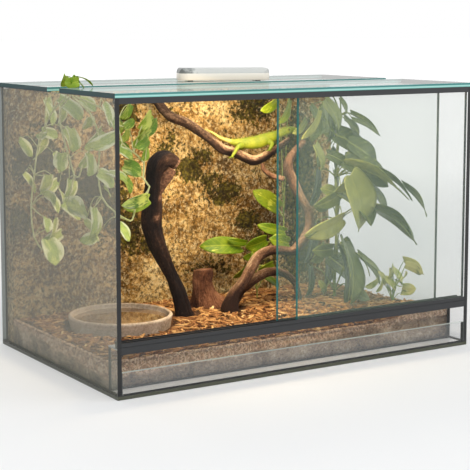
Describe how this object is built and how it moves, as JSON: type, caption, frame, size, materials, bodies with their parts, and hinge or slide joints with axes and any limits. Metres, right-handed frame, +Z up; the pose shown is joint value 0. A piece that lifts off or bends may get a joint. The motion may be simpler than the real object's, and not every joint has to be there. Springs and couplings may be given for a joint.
{
  "type": "planted glass terrarium",
  "caption": "Planted glass reptile tank with sliding front doors, slotted top, cork wall, soil bed, water bowl, branches and a lamp resting on top",
  "frame": {"origin": "Centre of the footprint on the underside of the floor pane.", "axes": "+X to the right as seen from the doors, -Y out of the front, +Z up."},
  "size_m": [0.6, 0.384, 0.421],
  "materials": {
    "clear_glass": "polished float glass with a faint green tint",
    "green_glass": "polished float glass seen through its green edges",
    "sealant": "black silicone sealant, satin",
    "edge_strip": "black glued strip, satin",
    "vent_sheet": "brushed, anodised",
    "runner": "extruded, satin",
    "cork": "rough cork bark with moss",
    "soil": "damp loose soil",
    "bark_chips": "loose pine bark chips",
    "bowl": "unglazed, rough",
    "water": "still water over a brown bowl floor",
    "dark_wood": "dark driftwood",
    "tan_wood": "tan driftwood",
    "stem": "moulded stem",
    "leaf": "printed leaf, satin",
    "lizard": "moulded figure, fine scales",
    "lamp_tray": "milky translucent",
    "lamp_cover": "moulded, satin",
    "lamp_board": "white solder mask",
    "led": "encapsulated",
    "driver": "moulded case",
    "screw": "zinc plated",
    "lamp_foot": "soft pad",
    "inlet": "moulded socket"
  },
  "bodies": {
    "tank": {"floor_pane": "green_glass", "base_seam": "sealant", "left_pane": "clear_glass", "right_pane": "clear_glass", "back_pane": "clear_glass", "rear_corner_seams": "sealant", "sill_pane": "clear_glass", "bed_wall_pane": "clear_glass", "low_pane_seams": "sealant", "left_edge_strip": "edge_strip", "right_edge_strip": "edge_strip", "top_seam": "sealant", "top_front_pane": "green_glass", "top_rear_pane": "green_glass", "vent_strip": "vent_sheet", "bottom_runner": "runner", "top_runner": "runner", "cork_wall": "cork", "soil_bed": "soil", "bark_chips": "bark_chips", "main_trunk": "dark_wood", "upper_branch": "dark_wood", "leaning_branch": "tan_wood", "low_stick": "tan_wood", "cross_twig": "tan_wood", "cork_stump": "cork", "hanging_vines": "stem", "hanging_leaves": "leaf", "sprout_stalk": "stem", "sprout_leaves": "leaf", "low_plant_stalks": "stem", "low_plant_leaves": "leaf", "tall_plant_stalks": "stem", "tall_plant_leaves": "leaf", "pothos_stalks": "stem", "pothos_leaves": "leaf", "lizard_figure": "lizard"},
    "front_door": {"front_door": "clear_glass"},
    "rear_door": {"rear_door": "clear_glass"},
    "lamp": {"lamp_tray": "lamp_tray", "lamp_cover": "lamp_cover", "lamp_board": "lamp_board", "lamp_leds": "led", "lamp_driver": "driver", "lamp_screws": "screw", "lamp_feet": "lamp_foot", "lamp_inlet": "inlet"},
    "bowl": {"water_bowl": "bowl", "bowl_water": "water"}
  },
  "joints": [
    {"name": "front_door_slide", "type": "slide", "parent": "tank", "child": "front_door", "axis": [1, 0, 0], "range_m": [-0.28, 0]},
    {"name": "rear_door_slide", "type": "slide", "parent": "tank", "child": "rear_door", "axis": [1, 0, 0], "range_m": [-0.252, 0.047]},
    {"name": "lamp_lift", "type": "slide", "parent": "tank", "child": "lamp", "axis": [0, 0, 1], "range_m": [0, 0.08]},
    {"name": "bowl_lift", "type": "slide", "parent": "tank", "child": "bowl", "axis": [0, 0, 1], "range_m": [0, 0.05]}
  ]
}
